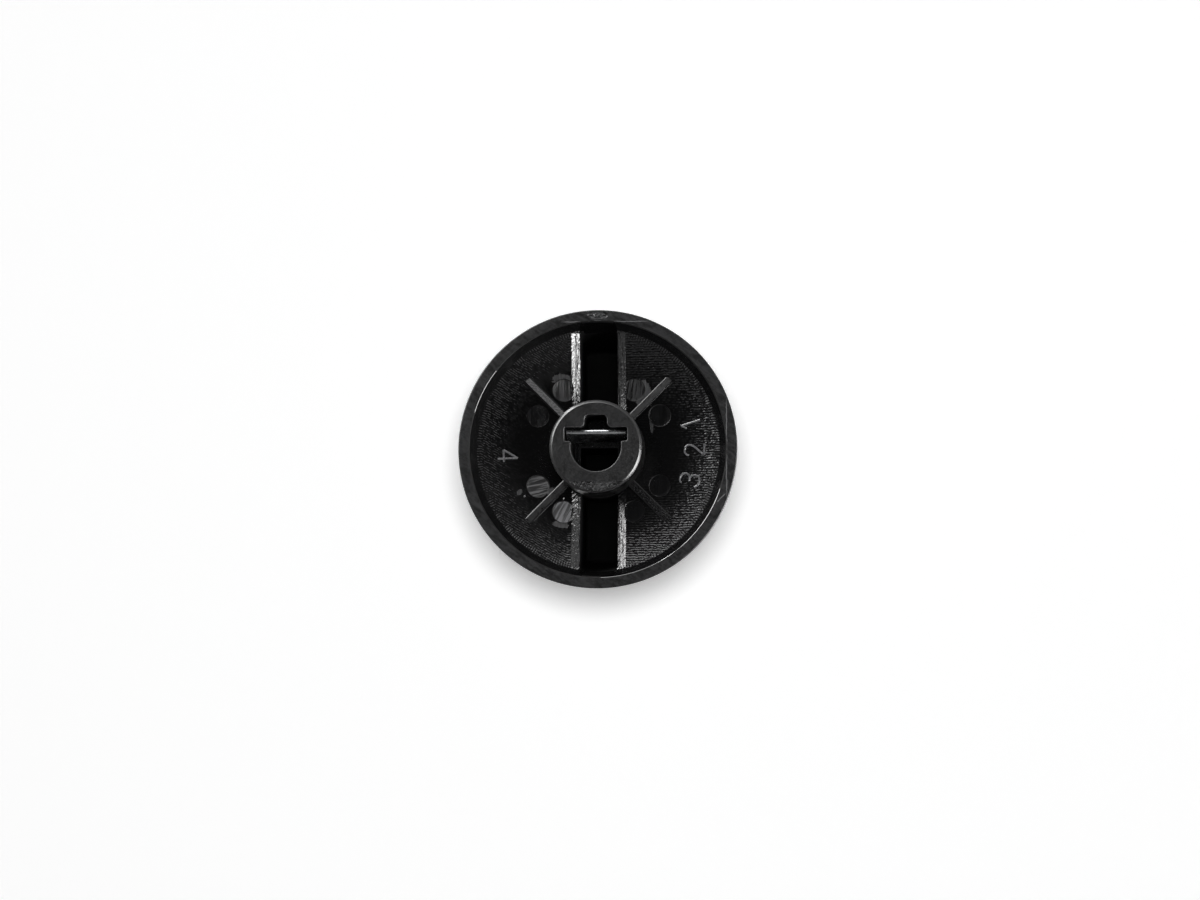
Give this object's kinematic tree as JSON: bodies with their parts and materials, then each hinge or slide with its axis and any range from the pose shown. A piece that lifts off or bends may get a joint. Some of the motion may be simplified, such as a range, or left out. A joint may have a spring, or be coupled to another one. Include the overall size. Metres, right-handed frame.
{
  "type": "programme knob",
  "caption": "Round programme knob with a hollow bar grip on a domed front and, behind, a ribbed dish and a raised hub whose shaft socket holds a leaf spring.",
  "frame": {"origin": "on the shaft's axis, at the height of the grip's crest, which is the lowest point of the knob as it lies with its back up", "axes": "+Z along the shaft's axis out of the shaft socket, +Y along the grip towards the gate mark and the key notch, +X across the grip"},
  "size_m": [0.045, 0.045, 0.0217],
  "materials": {
    "moulding": "black moulded plastic with a satin skin",
    "spring": "bright rolled spring steel strip"
  },
  "bodies": {
    "root": {"knob_moulding": "moulding", "shaft_spring": "spring"}
  },
  "joints": []
}
